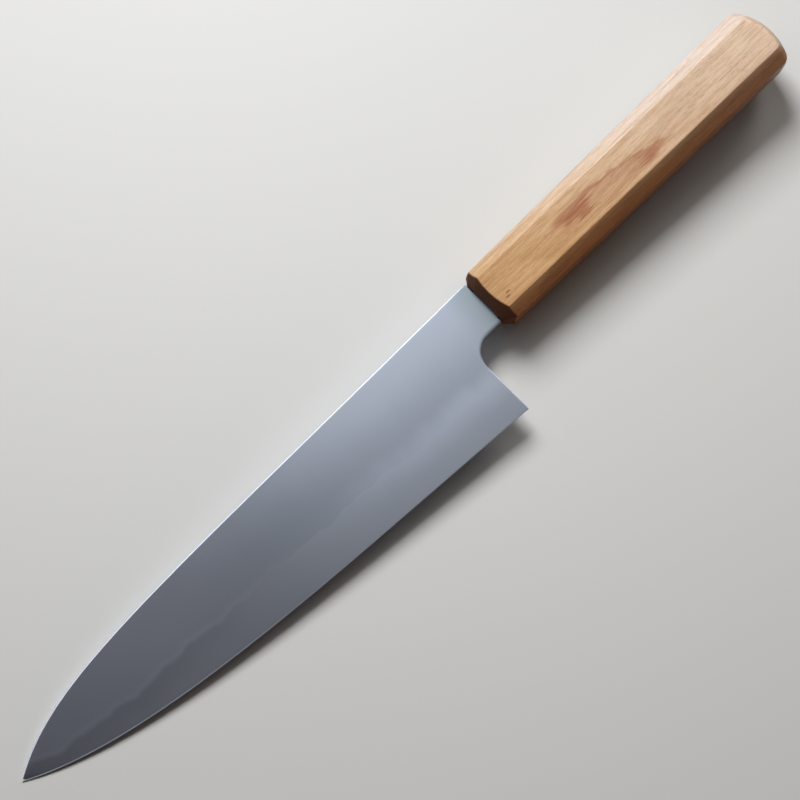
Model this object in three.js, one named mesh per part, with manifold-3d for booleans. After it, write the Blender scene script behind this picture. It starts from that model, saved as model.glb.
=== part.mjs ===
// A Japanese chef's knife: a laminated blade with a hidden tang, set with resin in an octagonal oak handle.
// Lengths are millimetres. +X runs from the handle to the tip, +Y from the spine to the cutting edge, and +Z
// comes out of the blade's left face, so the knife lies on its right side. While the pieces are made, x is 0 on
// the handle's front face and y and z are 0 on the handle's axis.

import * as THREE from "three";
import { mergeVertices } from "three/addons/utils/BufferGeometryUtils.js";
import Module from "manifold-3d";

const wasm = await Module();
wasm.setup();

// Handle: an octagon that grows steadily from its front to its butt
const HANDLE_LENGTH = 138;
const FRONT_HEIGHT = 22.5; // spine side to edge side
const FRONT_WIDTH = 20.5; // face to face
const FRONT_CORNER = 4; // leg of the octagon's corner facet
const BUTT_HEIGHT = 25.6;
const BUTT_WIDTH = 23.3;
const BUTT_CORNER = 5;
const NOSE_BEVEL = 2.55; // length of the front bevel on the taller sides, which grows towards the corners
const NOSE_INSET = 2.6; // how far that bevel draws the front face in
const NOSE_SHIFT = -1.5; // where the bevel is shortest, towards the spine
const CROWN_RISE = 3.85; // how far the butt swells past its taller sides
const CROWN_SHIFT = 1.5; // the crown's highest point, towards the cutting edge
const RIM_ROUND = 2.4; // reach of the butt's rounded rim along the sides and the crown

// Blade outline, from the handle's front face and axis
const NECK_LENGTH = 14.6; // front face to heel
const EDGE_REACH = 207.8; // heel to tip, along the axis
const SPINE_RISE = 9.8; // spine above the axis, at the handle
const NECK_DROP = 8.1; // underside of the neck below the axis
const HEEL_DROP = 36;
const TIP_DROP = 7;
const CHOIL_RADIUS = 8; // round between the neck and the heel
const SPINE_RUN = 152.6; // how long the spine keeps its first direction
const SPINE_DIP = 1.75; // fall of the spine over that run
const SPINE_TIP_RUN = 28.8; // last stretch of the spine, to the tip
const SPINE_TIP_FALL = 18.5;
const EDGE_RUN = 83.4; // flat of the edge, from the heel
const EDGE_LIFT = 5.6; // rise of the edge over that flat
const BELLY_RUN = 40.4; // last stretch of the edge, to the tip
const BELLY_LIFT = 21.8;
const TIP_BLUNT = 0.4; // worn off the very point

// Blade thickness
const NECK_THICKNESS = 3.6; // spine at the handle
const TIP_THICKNESS = 0.9; // spine at the tip
const TAPER_POWER = 0.8; // the spine thins faster near the handle
const GRIND_POWER = 1.15; // 1 is a flat face, and more makes it convex
const SHOULDER_THICKNESS = 0.3; // behind the sharpened edge
const BEVEL_DEPTH = 0.8; // width of the sharpened edge
const EDGE_THICKNESS = 0.06;
const SPINE_EASE = 0.35; // broken corners of the spine

// Lamination: where the grind cuts through the soft cladding and lays the hard core bare
const BARE_HEEL = 0.345; // share of the blade's height, from the edge, at the heel
const BARE_FRONT = 0.36; // the same near the tip
const TIP_BARE = 4.5; // at the tip the cladding is ground away altogether
const RUN_OUT = 12.5; // over which the line climbs to the spine before that
const WAVES = [
  { length: 41, swing: 0.55 },
  { length: 17, swing: 0.4 },
  { length: 9.7, swing: 0.3 },
]; // the line's wander, as waves along the blade
const WAVE_HEIGHT = 24; // below this height of blade the waves shrink with it
const SIDE_SHIFT = 2.1; // phase between the lines of the two faces, in radians
const WELD_GAP = 0.02; // the forge weld, as the space between its two layers

// Tang and its bed of resin
const TANG_LENGTH = 92;
const TANG_HEIGHT = 11.5;
const TANG_THICKNESS = 2.4;
const TANG_END_HEIGHT = 6.5;
const TANG_END_THICKNESS = 1.6;
const TANG_ROOT = 3; // how far the tang's root is drawn into the neck
const RESIN_FILM = 0.7;
const RESIN_DIP = 0.6; // resin below the socket's mouth
const FIT_GAP = 0.1; // between the resin and what it holds
const SHOULDER_GAP = 0.3; // between the neck and the handle

// How finely the curved forms are cut
const BLADE_STATIONS = 52;
const STATION_POWER = 1.5; // stations crowd towards the tip
const FACE_STEPS = 9;
const CORE_STEP = 2.4;
const FACET_STEPS = 4; // on each facet of the handle
const RIM_STEPS = 4;
const RIM_TRIES = 6; // rounds that bring a line of the side to the crown
const CROWN_RINGS = 6;
const CROWN_FLAT = 0.06; // share of the crown that its flat top takes
const CHOIL_STEPS = 10;
const HALVINGS = 40; // rounds that find a place on a curve
const MERGE_DISTANCE = 1e-5; // corners closer than this are one
const CLEAR = 20; // how far a cutting shape runs past what it cuts

const TIP_X = NECK_LENGTH + EDGE_REACH;

const spineCurve = new THREE.CubicBezierCurve(
  new THREE.Vector2(0, -SPINE_RISE),
  new THREE.Vector2(SPINE_RUN, SPINE_DIP - SPINE_RISE),
  new THREE.Vector2(TIP_X - SPINE_TIP_RUN, TIP_DROP - SPINE_TIP_FALL),
  new THREE.Vector2(TIP_X, TIP_DROP),
);
const edgeCurve = new THREE.CubicBezierCurve(
  new THREE.Vector2(NECK_LENGTH, HEEL_DROP),
  new THREE.Vector2(NECK_LENGTH + EDGE_RUN, HEEL_DROP - EDGE_LIFT),
  new THREE.Vector2(TIP_X - BELLY_RUN, TIP_DROP + BELLY_LIFT),
  new THREE.Vector2(TIP_X, TIP_DROP),
);

// The curve's y at an x, by halving the stretch that holds it
function heightAt(curve, x) {
  let low = 0;
  let high = 1;
  for (let i = 0; i < HALVINGS; i++) {
    const middle = (low + high) / 2;
    if (curve.getPoint(middle).x < x) low = middle;
    else high = middle;
  }
  return curve.getPoint(low).y;
}

const mix = THREE.MathUtils.lerp;

// Half of the blade's thickness at the spine
function spineHalf(x) {
  const along = THREE.MathUtils.clamp(x / TIP_X, 0, 1);
  return mix(NECK_THICKNESS, TIP_THICKNESS, along ** TAPER_POWER) / 2;
}

// Half of the blade's thickness at a share of its height, 0 on the spine and 1 at the sharpened edge
function faceHalf(x, share) {
  return mix(spineHalf(x), SHOULDER_THICKNESS / 2, share ** GRIND_POWER);
}

function bladeHeight(x) {
  return heightAt(edgeCurve, x) - heightAt(spineCurve, x);
}

// Share of the tang's length behind the handle's front face
function tangShare(x) {
  return -x / TANG_LENGTH;
}

function tangHalf(x) {
  return mix(TANG_THICKNESS, TANG_END_THICKNESS, tangShare(x)) / 2;
}

// Where the lamination line lies on a face, as a share of the height from the spine, below 0 once it has left it
function laminationShare(x, phase) {
  const height = bladeHeight(Math.min(x, TIP_X - TIP_BLUNT));
  const calm = Math.min(1, height / WAVE_HEIGHT);
  let wander = 0;
  WAVES.forEach(({ length, swing }, i) => {
    wander += swing * calm * Math.sin((2 * Math.PI * x) / length + phase * (i + 1));
  });
  const bare = mix(BARE_HEEL, BARE_FRONT, THREE.MathUtils.clamp((x - NECK_LENGTH) / EDGE_REACH, 0, 1));
  const climb = Math.max(0, (x - TIP_X + TIP_BARE + RUN_OUT) / RUN_OUT);
  return (1 - bare + wander / height) * (1 - climb * climb);
}

// Half of the hard core's thickness on one face, which puts the lamination line in its place
function coreHalf(x, phase) {
  if (x < 0) return (coreHalf(0, phase) * tangHalf(x)) / tangHalf(0);
  const share = laminationShare(x, phase);
  return share > 0 ? faceHalf(x, share) : mix(spineHalf(x), SHOULDER_THICKNESS / 2, share);
}

// A closed skin over rings of equal length, given in order of x, each turning from +Y to +Z
function loft(rings) {
  const count = rings[0].length;
  const index = [];
  for (let ring = 0; ring + 1 < rings.length; ring++) {
    for (let i = 0; i < count; i++) {
      const a = ring * count + i;
      const b = ring * count + ((i + 1) % count);
      index.push(a, b, a + count, b, b + count, a + count);
    }
  }
  const flat = (ring) => ring.map((p) => new THREE.Vector2(p.y, p.z));
  const last = (rings.length - 1) * count;
  for (const [a, b, c] of THREE.ShapeUtils.triangulateShape(flat(rings[0]), [])) index.push(a, c, b);
  for (const [a, b, c] of THREE.ShapeUtils.triangulateShape(flat(rings.at(-1)), [])) {
    index.push(last + a, last + b, last + c);
  }
  const geometry = new THREE.BufferGeometry();
  geometry.setAttribute("position", new THREE.Float32BufferAttribute(rings.flat().flatMap((p) => p.toArray()), 3));
  geometry.setIndex(index);
  return geometry;
}

// A solid that can be joined and cut
function solid(geometry) {
  geometry.deleteAttribute("normal");
  geometry.deleteAttribute("uv");
  const merged = mergeVertices(geometry, MERGE_DISTANCE);
  return new wasm.Manifold(
    new wasm.Mesh({
      numProp: 3,
      vertProperties: new Float32Array(merged.attributes.position.array),
      triVerts: new Uint32Array(merged.index.array),
    }),
  );
}

function piece(name, body, look) {
  const { vertProperties, triVerts } = body.getMesh();
  const geometry = new THREE.BufferGeometry();
  geometry.setAttribute("position", new THREE.BufferAttribute(new Float32Array(vertProperties), 3));
  geometry.setIndex(new THREE.BufferAttribute(new Uint32Array(triVerts), 1));
  geometry.computeVertexNormals();
  const mesh = new THREE.Mesh(geometry, new THREE.MeshStandardMaterial(look));
  mesh.name = name;
  return mesh;
}

// One section of the blade: a wedge from the eased spine to the sharpened edge
function bladeRing(x) {
  const spine = heightAt(spineCurve, x);
  const edge = x < NECK_LENGTH ? HEEL_DROP : heightAt(edgeCurve, x);
  const height = edge - spine;
  const ease = Math.min(SPINE_EASE, height / 4, spineHalf(x) / 2);
  const bevel = Math.min(BEVEL_DEPTH, height / 4);
  const left = [new THREE.Vector3(x, edge, EDGE_THICKNESS / 2)];
  for (let step = FACE_STEPS; step >= 0; step--) {
    const share = step / FACE_STEPS;
    left.push(new THREE.Vector3(x, mix(spine + ease, edge - bevel, share), faceHalf(x, share)));
  }
  left.push(new THREE.Vector3(x, spine, spineHalf(x) - ease));
  const right = left.map((p) => new THREE.Vector3(p.x, p.y, -p.z)).reverse();
  return [...left, ...right];
}

function bladeBody() {
  const rings = [];
  for (let i = 0; i <= BLADE_STATIONS; i++) {
    const along = 1 - (1 - i / BLADE_STATIONS) ** STATION_POWER;
    rings.push(bladeRing(mix(SHOULDER_GAP, TIP_X - TIP_BLUNT, along)));
  }
  return solid(loft(rings));
}

// What is cut away between the neck and the heel
function choilCutter() {
  const outline = new THREE.Shape();
  outline.moveTo(-CLEAR, NECK_DROP);
  outline.lineTo(NECK_LENGTH - CHOIL_RADIUS, NECK_DROP);
  outline.absarc(NECK_LENGTH - CHOIL_RADIUS, NECK_DROP + CHOIL_RADIUS, CHOIL_RADIUS, -Math.PI / 2, 0, false);
  outline.lineTo(NECK_LENGTH, HEEL_DROP + CLEAR);
  outline.lineTo(-CLEAR, HEEL_DROP + CLEAR);
  const depth = NECK_THICKNESS + 2 * CLEAR;
  const cutter = new THREE.ExtrudeGeometry(outline, { depth, bevelEnabled: false, curveSegments: CHOIL_STEPS });
  return solid(cutter.translate(0, 0, -depth / 2));
}

// The tang's tapering bar, or the space round it when grown on every side, between two places on the axis
function tangBar(grow, from, to) {
  const ring = (x) => {
    const y = mix(TANG_HEIGHT, TANG_END_HEIGHT, tangShare(x)) / 2 + grow;
    const z = tangHalf(x) + grow;
    return [[y, -z], [y, z], [-y, z], [-y, -z]].map(([a, b]) => new THREE.Vector3(x, a, b));
  };
  return solid(loft([ring(from), ring(to)]));
}

// One forged layer's space along the blade, between two heights over the blade's middle plane
function layerSpace(lower, upper) {
  const start = -TANG_LENGTH - CLEAR;
  const count = Math.ceil((TIP_X + CLEAR - start) / CORE_STEP);
  const places = Array.from({ length: count + 1 }, (_, i) => mix(start, TIP_X + CLEAR, i / count));
  const under = places.map((x) => new THREE.Vector2(x, lower(x)));
  const over = places.map((x) => new THREE.Vector2(x, upper(x))).reverse();
  const depth = SPINE_RISE + HEEL_DROP + 2 * CLEAR;
  const space = new THREE.ExtrudeGeometry(new THREE.Shape([...under, ...over]), { depth, bevelEnabled: false });
  return solid(space.rotateX(Math.PI / 2).translate(0, HEEL_DROP + CLEAR, 0));
}

// The handle's octagon at a place on the axis, drawn in on every side, with its facets cut into equal steps
function octagonRing(x, inset) {
  const along = -x / HANDLE_LENGTH;
  const y = mix(FRONT_HEIGHT, BUTT_HEIGHT, along) / 2 - inset;
  const z = mix(FRONT_WIDTH, BUTT_WIDTH, along) / 2 - inset;
  const corner = mix(FRONT_CORNER, BUTT_CORNER, along) - inset * (2 - Math.SQRT2);
  const quarter = [[y, z - corner], [y - corner, z]];
  const mirrored = quarter.map(([a, b]) => [-a, b]).reverse();
  const upper = [...quarter, ...mirrored];
  const lower = upper.map(([a, b]) => [-a, -b]);
  const corners = [...upper, ...lower].map(([a, b]) => new THREE.Vector3(x, a, b));
  return corners.flatMap((corner, i) => {
    const next = corners[(i + 1) % corners.length];
    return Array.from({ length: FACET_STEPS }, (_, step) => corner.clone().lerp(next, step / FACET_STEPS));
  });
}

// Where one line along the handle's side meets the front bevel
function nosePoint(step) {
  const { y, z } = octagonRing(-NOSE_BEVEL, 0)[step];
  const out = Math.hypot(y - NOSE_SHIFT, z) / (FRONT_HEIGHT / 2);
  return octagonRing(-NOSE_BEVEL * out * out, 0)[step];
}

// The point of the butt's crown, a part of a sphere, over a place in the section
function onCrown(y, z) {
  const half = BUTT_HEIGHT / 2;
  const radius = (half * half + CROWN_RISE * CROWN_RISE) / (2 * CROWN_RISE);
  const out = Math.min(radius, Math.hypot(y - CROWN_SHIFT, z));
  return new THREE.Vector3(radius - HANDLE_LENGTH - Math.sqrt(radius * radius - out * out), y, z);
}

// One line of the rounded rim, from the crown to the handle's side
function rimCurve(step) {
  let rim = octagonRing(CROWN_RISE - HANDLE_LENGTH, 0)[step];
  for (let i = 0; i < RIM_TRIES; i++) rim = octagonRing(onCrown(rim.y, rim.z).x, 0)[step];
  const inwards = 1 - RIM_ROUND / Math.hypot(rim.y, rim.z);
  const side = octagonRing(rim.x + RIM_ROUND, 0)[step];
  return new THREE.QuadraticBezierCurve3(onCrown(rim.y * inwards, rim.z * inwards), rim, side);
}

function handleBody() {
  const rims = octagonRing(0, 0).map((_, step) => rimCurve(step));
  const rings = [];
  for (let ring = 0; ring < CROWN_RINGS; ring++) {
    const share = Math.max(CROWN_FLAT, ring / CROWN_RINGS);
    rings.push(rims.map(({ v0 }) => onCrown(mix(CROWN_SHIFT, v0.y, share), v0.z * share)));
  }
  for (let step = 0; step <= RIM_STEPS; step++) {
    rings.push(rims.map((rim) => rim.getPoint(step / RIM_STEPS)));
  }
  rings.push(rims.map((_, step) => nosePoint(step)), octagonRing(0, NOSE_INSET));
  const grow = RESIN_FILM + 2 * FIT_GAP;
  const socket = tangBar(grow, -TANG_LENGTH - grow, CLEAR);
  return solid(loft(rings)).subtract(socket);
}

function resinBody() {
  const film = FIT_GAP + RESIN_FILM;
  const bed = tangBar(film, -TANG_LENGTH - film, -RESIN_DIP);
  return bed.subtract(tangBar(FIT_GAP, -TANG_LENGTH - FIT_GAP, CLEAR));
}

const steel = bladeBody().subtract(choilCutter()).add(tangBar(0, -TANG_LENGTH, TANG_ROOT));
const FAR = NECK_THICKNESS + CLEAR;
const left = (x) => coreHalf(x, 0);
const right = (x) => coreHalf(x, SIDE_SHIFT);

const knife = new THREE.Group();
knife.add(
  piece("core_steel", steel.intersect(layerSpace((x) => -right(x), left)), {
    color: 0x6f7378,
    roughness: 0.38,
    metalness: 1,
  }),
  piece("left_cladding", steel.intersect(layerSpace((x) => left(x) + WELD_GAP, () => FAR)), {
    color: 0xa3abb3,
    roughness: 0.46,
    metalness: 1,
  }),
  piece("right_cladding", steel.intersect(layerSpace(() => -FAR, (x) => -right(x) - WELD_GAP)), {
    color: 0xa3abb3,
    roughness: 0.46,
    metalness: 1,
  }),
  piece("handle", handleBody(), { color: 0xc79d6c, roughness: 0.62, metalness: 0 }),
  piece("tang_adhesive", resinBody(), { color: 0x3b2b1e, roughness: 0.5, metalness: 0 }),
);

// The knife lies with its lowest point on z 0, over the middle of its outline
const box = new THREE.Box3().setFromObject(knife, true);
const middle = box.getCenter(new THREE.Vector3());
knife.position.set(-middle.x, -middle.y, -box.min.z);
knife.updateMatrixWorld(true);

export default knife;
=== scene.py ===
"""Dresses a chef's knife with a three-layer blade and an octagonal oak handle, lying in a plain studio."""

import logging
import math
from collections.abc import Callable
from dataclasses import dataclass
from dataclasses import field
from enum import Enum

import bmesh
import bpy
from mathutils import Color
from mathutils import Matrix
from mathutils import Vector


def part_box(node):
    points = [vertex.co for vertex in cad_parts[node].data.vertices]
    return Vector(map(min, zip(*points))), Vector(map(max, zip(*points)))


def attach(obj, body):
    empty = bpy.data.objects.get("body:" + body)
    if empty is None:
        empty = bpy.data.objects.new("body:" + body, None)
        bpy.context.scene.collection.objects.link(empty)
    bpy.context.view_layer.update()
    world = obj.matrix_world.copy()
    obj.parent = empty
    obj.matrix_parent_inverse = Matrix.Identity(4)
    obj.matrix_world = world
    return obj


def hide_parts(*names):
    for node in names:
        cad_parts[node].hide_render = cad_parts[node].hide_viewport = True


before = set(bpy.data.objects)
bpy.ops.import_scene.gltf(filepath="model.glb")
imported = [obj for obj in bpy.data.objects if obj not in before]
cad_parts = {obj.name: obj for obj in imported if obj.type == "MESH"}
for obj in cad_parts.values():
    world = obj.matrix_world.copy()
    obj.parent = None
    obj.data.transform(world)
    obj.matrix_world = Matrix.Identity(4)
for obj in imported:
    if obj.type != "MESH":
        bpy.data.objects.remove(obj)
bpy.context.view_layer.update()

MM = 0.001
BODY = "root"
MERGE_DISTANCE = 0.00004 * MM
CURVE_HALVINGS = 40
LOG = logging.getLogger("knife")

Colour = tuple[float, float, float, float]
Point = tuple[float, float]


def mix(start: float, end: float, share: float) -> float:
    """Gives the value at a share of the way from start to end."""
    return start + (end - start) * share


def clamp(value: float) -> float:
    """Holds a value between 0 and 1."""
    return min(1.0, max(0.0, value))


def display(red: int, green: int, blue: int) -> Colour:
    """Turns an 8-bit display colour into the linear colour that a shader takes, with full alpha."""
    linear = Color((red / 255, green / 255, blue / 255)).from_srgb_to_scene_linear()
    return linear.r, linear.g, linear.b, 1.0


def facing(place: Vector, back: Vector, right: Vector) -> Matrix:
    """Gives the matrix of a lamp or camera.

    Args:
        place: Where it stands.
        back: The direction behind it, of length 1.
        right: The direction to its right, which is squared to back.

    Returns:
        Its world matrix.
    """
    right = (right - back * right.dot(back)).normalized()
    axes = Matrix((right, back.cross(right), back)).transposed()
    return Matrix.Translation(place) @ axes.to_4x4()


@dataclass(frozen=True)
class Datum:
    """Where the knife lies in the frame: the handle's front face, its axis and the blade's middle plane."""

    front: float
    axis: float
    plane: float

    @classmethod
    def from_frame(cls) -> "Datum":
        """Reads the datum from the boxes of the handle and of the resin round the tang."""
        low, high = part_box("tang_adhesive")
        return cls(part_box("handle")[1].x, (low.y + high.y) / 2, (low.z + high.z) / 2)

    def at(self, x: float, y: float, z: float) -> Vector:
        """Places a point given from the datum into the frame.

        Args:
            x: The distance from the handle's front face towards the tip.
            y: The distance from the handle's axis towards the cutting edge.
            z: The height over the blade's middle plane.

        Returns:
            The point in the frame.
        """
        return Vector((self.front + x, self.axis + y, self.plane + z))


def operator(operation: str, reflected: bool = False) -> Callable[..., "Wire"]:
    """Makes one operator of a wire, which adds a Math node.

    Args:
        operation: What the Math node does.
        reflected: Whether the wire is the second value.

    Returns:
        The method. An operator on one value leaves the other at 0.
    """
    def method(self: "Wire", other: "Wire | float" = 0.0) -> "Wire":
        """Adds the Math node and gives its value."""
        first, second = (other, self) if reflected else (self, other)
        return self.graph.wire("ShaderNodeMath", {"operation": operation}, {0: first, 1: second})
    return method


class Wire:
    """One output of a shader node. Arithmetic on it adds Math nodes."""

    def __init__(self, graph: "Graph", socket: bpy.types.NodeSocket) -> None:
        """Wraps a socket of the graph."""
        self.graph = graph
        self.socket = socket

    __add__ = operator("ADD")
    __radd__ = operator("ADD", reflected=True)
    __sub__ = operator("SUBTRACT")
    __rsub__ = operator("SUBTRACT", reflected=True)
    __mul__ = operator("MULTIPLY")
    __rmul__ = operator("MULTIPLY", reflected=True)
    __truediv__ = operator("DIVIDE")
    __rtruediv__ = operator("DIVIDE", reflected=True)
    __pow__ = operator("POWER")
    __rpow__ = operator("POWER", reflected=True)
    __abs__ = operator("ABSOLUTE")
    either = operator("MAXIMUM")
    fraction = operator("FRACT")


@dataclass(frozen=True)
class Fade:
    """A smooth step from 0 at a value's start to a top at its end, which may lie below the start."""

    start: float
    end: float
    top: float = 1.0


@dataclass(frozen=True)
class Grain:
    """The size of a pattern's spots along the knife and across it, in millimetres, and its fine detail."""

    along: float
    across: float
    detail: float = 2.0


class Graph:
    """The node tree of one material."""

    def __init__(self, name: str) -> None:
        """Starts an empty material of that name."""
        self.material = bpy.data.materials.new(name)
        self.material.use_nodes = True
        self.tree = self.material.node_tree
        self.tree.nodes.clear()

    def node(self, kind: str, settings: dict | None = None, inputs: dict | None = None) -> bpy.types.Node:
        """Adds a node of any kind.

        Args:
            kind: The node's type.
            settings: The node's own settings, which are set first.
            inputs: The value or wire of each socket, by its name or number.

        Returns:
            The new node.
        """
        node = self.tree.nodes.new(kind)
        for name, value in (settings or {}).items():
            setattr(node, name, value)
        for key, value in (inputs or {}).items():
            if isinstance(value, Wire):
                self.tree.links.new(value.socket, node.inputs[key])
            else:
                node.inputs[key].default_value = value
        return node

    def wire(
        self, kind: str, settings: dict | None = None, inputs: dict | None = None, output: int | str = 0
    ) -> Wire:
        """Adds a node and gives one of its outputs."""
        return Wire(self, self.node(kind, settings, inputs).outputs[output])

    def place(self, datum: Datum) -> Wire:
        """Gives the surface point in millimetres from the datum.

        Args:
            datum: Where the knife lies.

        Returns:
            The point, as a vector.
        """
        corner = tuple(-value / MM for value in (datum.front, datum.axis, datum.plane))
        source = self.wire("ShaderNodeTexCoord", output="Object")
        inputs = {"Vector": source, "Location": corner, "Scale": (1 / MM, 1 / MM, 1 / MM)}
        return self.wire("ShaderNodeMapping", {"vector_type": "POINT"}, inputs)

    def axes(self, place: Wire) -> tuple[Wire, Wire, Wire]:
        """Splits a point into its three numbers."""
        node = self.node("ShaderNodeSeparateXYZ", inputs={0: place})
        return Wire(self, node.outputs[0]), Wire(self, node.outputs[1]), Wire(self, node.outputs[2])

    def attribute(self, name: str) -> Wire:
        """Gives the number that the mesh carries under a name."""
        return self.wire("ShaderNodeAttribute", {"attribute_name": name}, output="Fac")

    def stretch(self, place: Wire, grain: Grain) -> Wire:
        """Measures a point in grains."""
        share = (1 / grain.along, 1 / grain.across, 1 / grain.across)
        return self.wire("ShaderNodeVectorMath", {"operation": "MULTIPLY"}, {0: place, 1: share})

    def noise(self, place: Wire, grain: Grain) -> Wire:
        """Gives soft noise from 0 to 1."""
        inputs = {"Vector": self.stretch(place, grain), "Scale": 1.0, "Detail": grain.detail}
        return self.wire("ShaderNodeTexNoise", inputs=inputs)

    def swing(self, place: Wire, grain: Grain) -> Wire:
        """Gives soft noise up to a half to both sides of 0."""
        return self.noise(place, grain) - 0.5

    def cells(self, place: Wire, grain: Grain) -> Wire:
        """Gives the distance to scattered points that lie about one grain apart."""
        inputs = {"Vector": self.stretch(place, grain), "Scale": 1.0}
        return self.wire("ShaderNodeTexVoronoi", inputs=inputs)

    def rise(self, value: Wire, fade: Fade) -> Wire:
        """Gives what a fade makes of a value."""
        inputs = {"Value": value, "From Min": fade.start, "From Max": fade.end, "To Max": fade.top}
        return self.wire("ShaderNodeMapRange", {"interpolation_type": "SMOOTHSTEP"}, inputs)

    def near(self, distance: Wire, reach: float) -> Wire:
        """Gives 1 at no distance, which fades to 0 at the reach."""
        return self.rise(distance, Fade(reach, 0.0))

    def blend(
        self, share: Wire | float, first: Wire | Colour, second: Wire | Colour, manner: str = "MIX"
    ) -> Wire:
        """Blends two colours: the first at a share of 0, and the second, or their product, at 1."""
        # A Mix node's colours are its inputs 6 and 7 and its output 2.
        inputs = {0: share, 6: first, 7: second}
        return self.wire("ShaderNodeMix", {"data_type": "RGBA", "blend_type": manner}, inputs, 2)

    def bump(self, height: Wire, depth: float) -> Wire:
        """Gives the normal of a surface that a height of 0 to 1 raises by up to a depth in metres."""
        return self.wire("ShaderNodeBump", inputs={"Strength": 1.0, "Distance": depth, "Height": height})

    def finish(self, inputs: dict) -> bpy.types.Material:
        """Closes the tree with a Principled shader of these sockets and gives the material."""
        return self.close(self.wire("ShaderNodeBsdfPrincipled", inputs=inputs))

    def close(self, surface: Wire) -> bpy.types.Material:
        """Closes the tree with a surface shader and gives the material."""
        self.node("ShaderNodeOutputMaterial", inputs={"Surface": surface})
        return self.material


@dataclass(frozen=True)
class SteelFinish:
    """A satin steel whose shade changes along the blade and beside the lamination line.

    Lengths are in millimetres. forward_fade, haze_fade and neck_shade_reach run along the blade from the
    handle.
    The other reaches and far_fade run across it from the lamination line. At the heel the tint is painted
    lighter away from the line towards the spine, as painted light, and next to the handle it is painted
    darker, as painted shade.
    """

    name: str
    heel_tint: Colour
    heel_spine_painted_light: Colour
    # painted light: the heel's tint away from the lamination line, lighter towards the spine
    heel_line_tint: Colour
    heel_line_reach: float
    tip_tint: Colour
    tip_line_tint: Colour
    tip_line_reach: float
    seam_tint: Colour = (0.625, 0.665, 0.795, 1.0)
    seam_reach: float = 0.9
    # painted shade: the steel is tinted darker next to the handle, where the handle blocks the light
    neck_painted_shade: Colour = (0.42, 0.5, 0.555, 1.0)
    neck_shade_reach: float = 13.0
    forward_fade: Fade = Fade(95.0, 170.0)
    haze_fade: Fade = Fade(118.0, 20.0)
    far_fade: Fade = Fade(7.0, 24.0)
    roughness: float = 0.315
    spine_roughness: float = 0.6
    cloud_grain: Grain = Grain(30.0, 11.0, 3.0)
    cloud_swing: float = 0.016
    streak_grain: Grain = Grain(16.0, 0.4)
    streak_swing: float = 0.008
    scratch_grain: Grain = Grain(6.0, 0.1, 3.0)
    scratch_depth: float = 0.0006 * MM

    def material(self, datum: Datum) -> bpy.types.Material:
        """Makes the finish.

        Args:
            datum: Where the knife lies.

        Returns:
            The material, which reads the attributes line_gap, in millimetres from the lamination line, and
            spine_corner, 1 on the rounded corner of the spine.
        """
        graph = Graph(self.name)
        place = graph.place(datum)
        x = graph.axes(place)[0]
        gap = abs(graph.attribute("line_gap"))
        forward = graph.rise(x, self.forward_fade)
        haze = graph.rise(x, self.haze_fade) * graph.near(gap, self.heel_line_reach)
        # painted light: the heel's tint turns lighter away from the lamination line towards the spine
        tint = graph.blend(graph.rise(gap, self.far_fade), self.heel_tint, self.heel_spine_painted_light)
        tint = graph.blend(forward, tint, self.tip_tint)
        # painted shade: a darker tint within a few millimetres of the handle
        tint = graph.blend(graph.near(x, self.neck_shade_reach), tint, self.neck_painted_shade)
        tint = graph.blend(haze, tint, self.heel_line_tint)
        tint = graph.blend(graph.near(gap, self.tip_line_reach) * forward, tint, self.tip_line_tint)
        tint = graph.blend(graph.near(gap, self.seam_reach) * forward, tint, self.seam_tint)
        cloud = graph.swing(place, self.cloud_grain) * self.cloud_swing
        streak = graph.swing(place, self.streak_grain) * self.streak_swing
        corner = graph.attribute("spine_corner") * (self.spine_roughness - self.roughness)
        return graph.finish({
            "Base Color": tint,
            "Metallic": 1.0,
            "Roughness": self.roughness + cloud + streak + corner,
            "Normal": graph.bump(graph.noise(place, self.scratch_grain), self.scratch_depth),
        })


@dataclass(frozen=True)
class EyeFigure:
    """The reddish eye in the wood: a long loop, stained at both ends and faint on the edge side.

    Lengths are in millimetres from the datum. The line and the inside are in shares of the loop's reach.
    """

    place: float = -58.0
    side: float = 1.65
    slope: float = 0.096
    length: float = 23.5
    width: float = 3.8
    line: float = 0.94
    line_fade: Fade = Fade(0.3, 0.03)
    line_strength: float = 0.2
    spine_fade: Fade = Fade(0.6, -1.2, 0.5)
    inside_fade: Fade = Fade(1.1, 0.75)
    inside_strength: float = 0.28
    rear_fade: Fade = Fade(-8.0, -16.0, 0.8)
    fore_fade: Fade = Fade(4.0, 13.0, 0.9)

    def mask(self, graph: Graph, x: Wire, y: Wire) -> Wire:
        """Draws the eye.

        Args:
            graph: The wood's graph.
            x: The place along the handle.
            y: The place across it.

        Returns:
            The strength of the stain, 0 to 1.
        """
        run = x - self.place
        side = y - self.side + run * self.slope
        reach = ((run / self.length) ** 2.0 + (side / self.width) ** 2.0) ** 0.5
        strength = self.line_strength + graph.rise(side, self.spine_fade)
        line = graph.rise(abs(reach - self.line), self.line_fade) * strength
        rear = graph.rise(run, self.rear_fade)
        fore = graph.rise(run, self.fore_fade)
        inside = graph.rise(reach, self.inside_fade) * rear.either(fore).either(self.inside_strength)
        return line.either(inside)


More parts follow.
